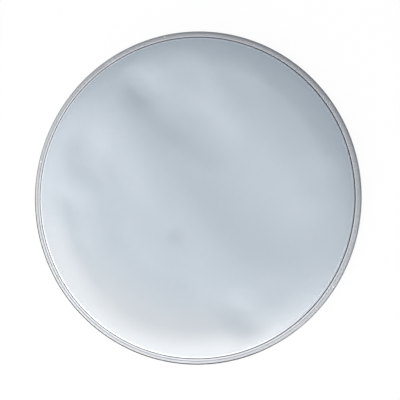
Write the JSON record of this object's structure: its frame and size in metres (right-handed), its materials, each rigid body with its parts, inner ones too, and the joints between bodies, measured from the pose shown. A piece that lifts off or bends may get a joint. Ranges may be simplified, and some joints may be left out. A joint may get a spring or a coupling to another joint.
{
  "type": "drum head",
  "caption": "Round drum head: hazy polyester film with a steep formed collar, its hem cast into a slim aluminium channel hoop that slips over a drum shell.",
  "frame": {"origin": "centre of the hoop's underside, on the axis of the ring", "axes": "+Z along the axis of the ring, up out of the playing face; X and Y in the plane of the hoop"},
  "size_m": [0.3734, 0.3734, 0.012],
  "materials": {
    "film": "glossy hazy polyester film",
    "hoop": "rolled, satin",
    "resin": "cast epoxy",
    "tongue": "sheared strip, mill"
  },
  "bodies": {
    "root": {"film": "film", "hoop": "hoop", "resin_ring": "resin", "joint_tongue": "tongue"}
  },
  "joints": []
}
